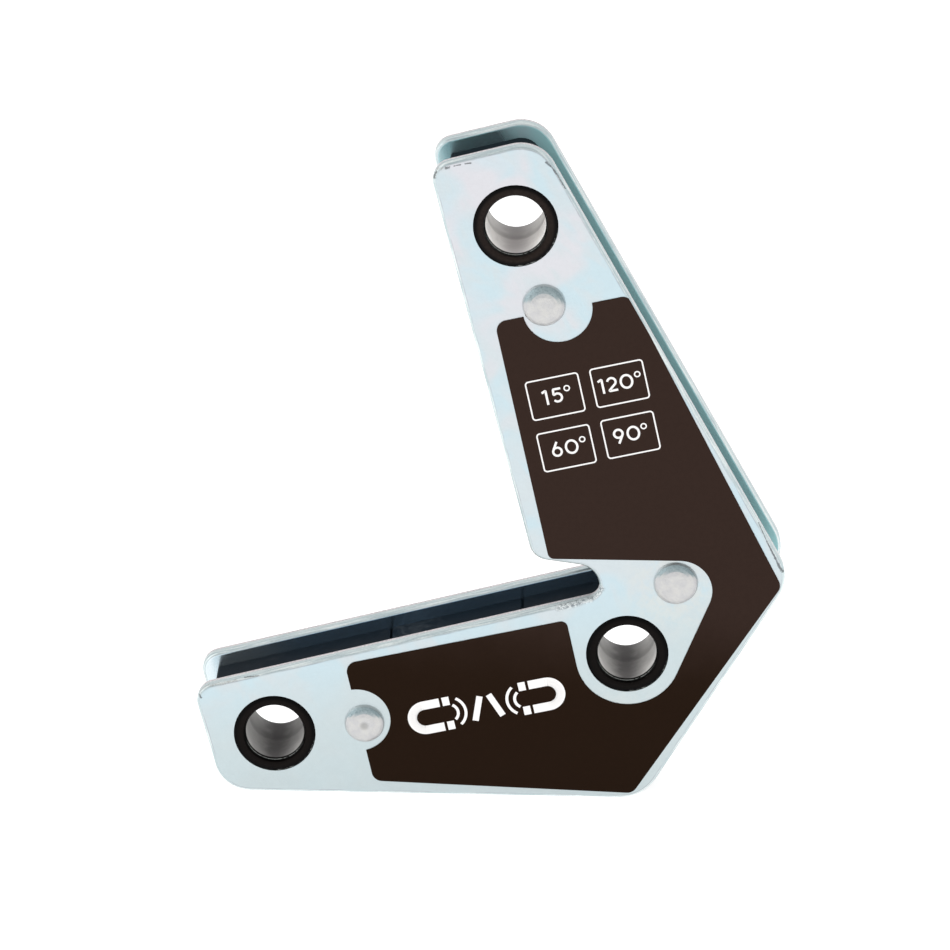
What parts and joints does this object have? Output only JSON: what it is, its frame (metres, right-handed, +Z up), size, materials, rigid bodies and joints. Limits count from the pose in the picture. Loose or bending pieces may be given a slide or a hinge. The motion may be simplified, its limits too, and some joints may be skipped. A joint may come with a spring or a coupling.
{
  "type": "welding_magnet_holder",
  "caption": "Magnetic holder for welding: two angled steel plates riveted over ferrite magnets, with bushed holes and square, oblique and obtuse edges.",
  "frame": {"origin": "middle of the width and depth, at the height of the level bottom edges", "axes": "+Z up from the bottom edges, +X to the right across the plates, +Y from the labelled plate to the plain one"},
  "size_m": [0.1206, 0.0228, 0.141],
  "materials": {
    "zinc_plate": "blue-passivated zinc plating over sheared steel",
    "rivet_steel": "zinc-plated rivet heads, pressed flat",
    "bush_nylon": "smooth black moulding",
    "spacer_plastic": "dull black moulding",
    "ferrite": "ground charcoal ferrite",
    "label_vinyl": "dark brown printed vinyl"
  },
  "bodies": {
    "root": {"front_plate": "zinc_plate", "back_plate": "zinc_plate", "front_label": "label_vinyl", "upper_end_spacer": "spacer_plastic", "lower_end_spacer": "spacer_plastic", "corner_spacer": "spacer_plastic", "lower_inner_magnet": "ferrite", "lower_outer_magnet": "ferrite", "upper_inner_magnet": "ferrite", "upper_outer_magnet": "ferrite", "neck_magnet": "ferrite", "upper_rivet": "rivet_steel", "upper_bush_front": "bush_nylon", "upper_bush_back": "bush_nylon", "corner_rivet": "rivet_steel", "corner_bush_front": "bush_nylon", "corner_bush_back": "bush_nylon", "lower_rivet": "rivet_steel", "lower_bush_front": "bush_nylon", "lower_bush_back": "bush_nylon"}
  },
  "joints": []
}
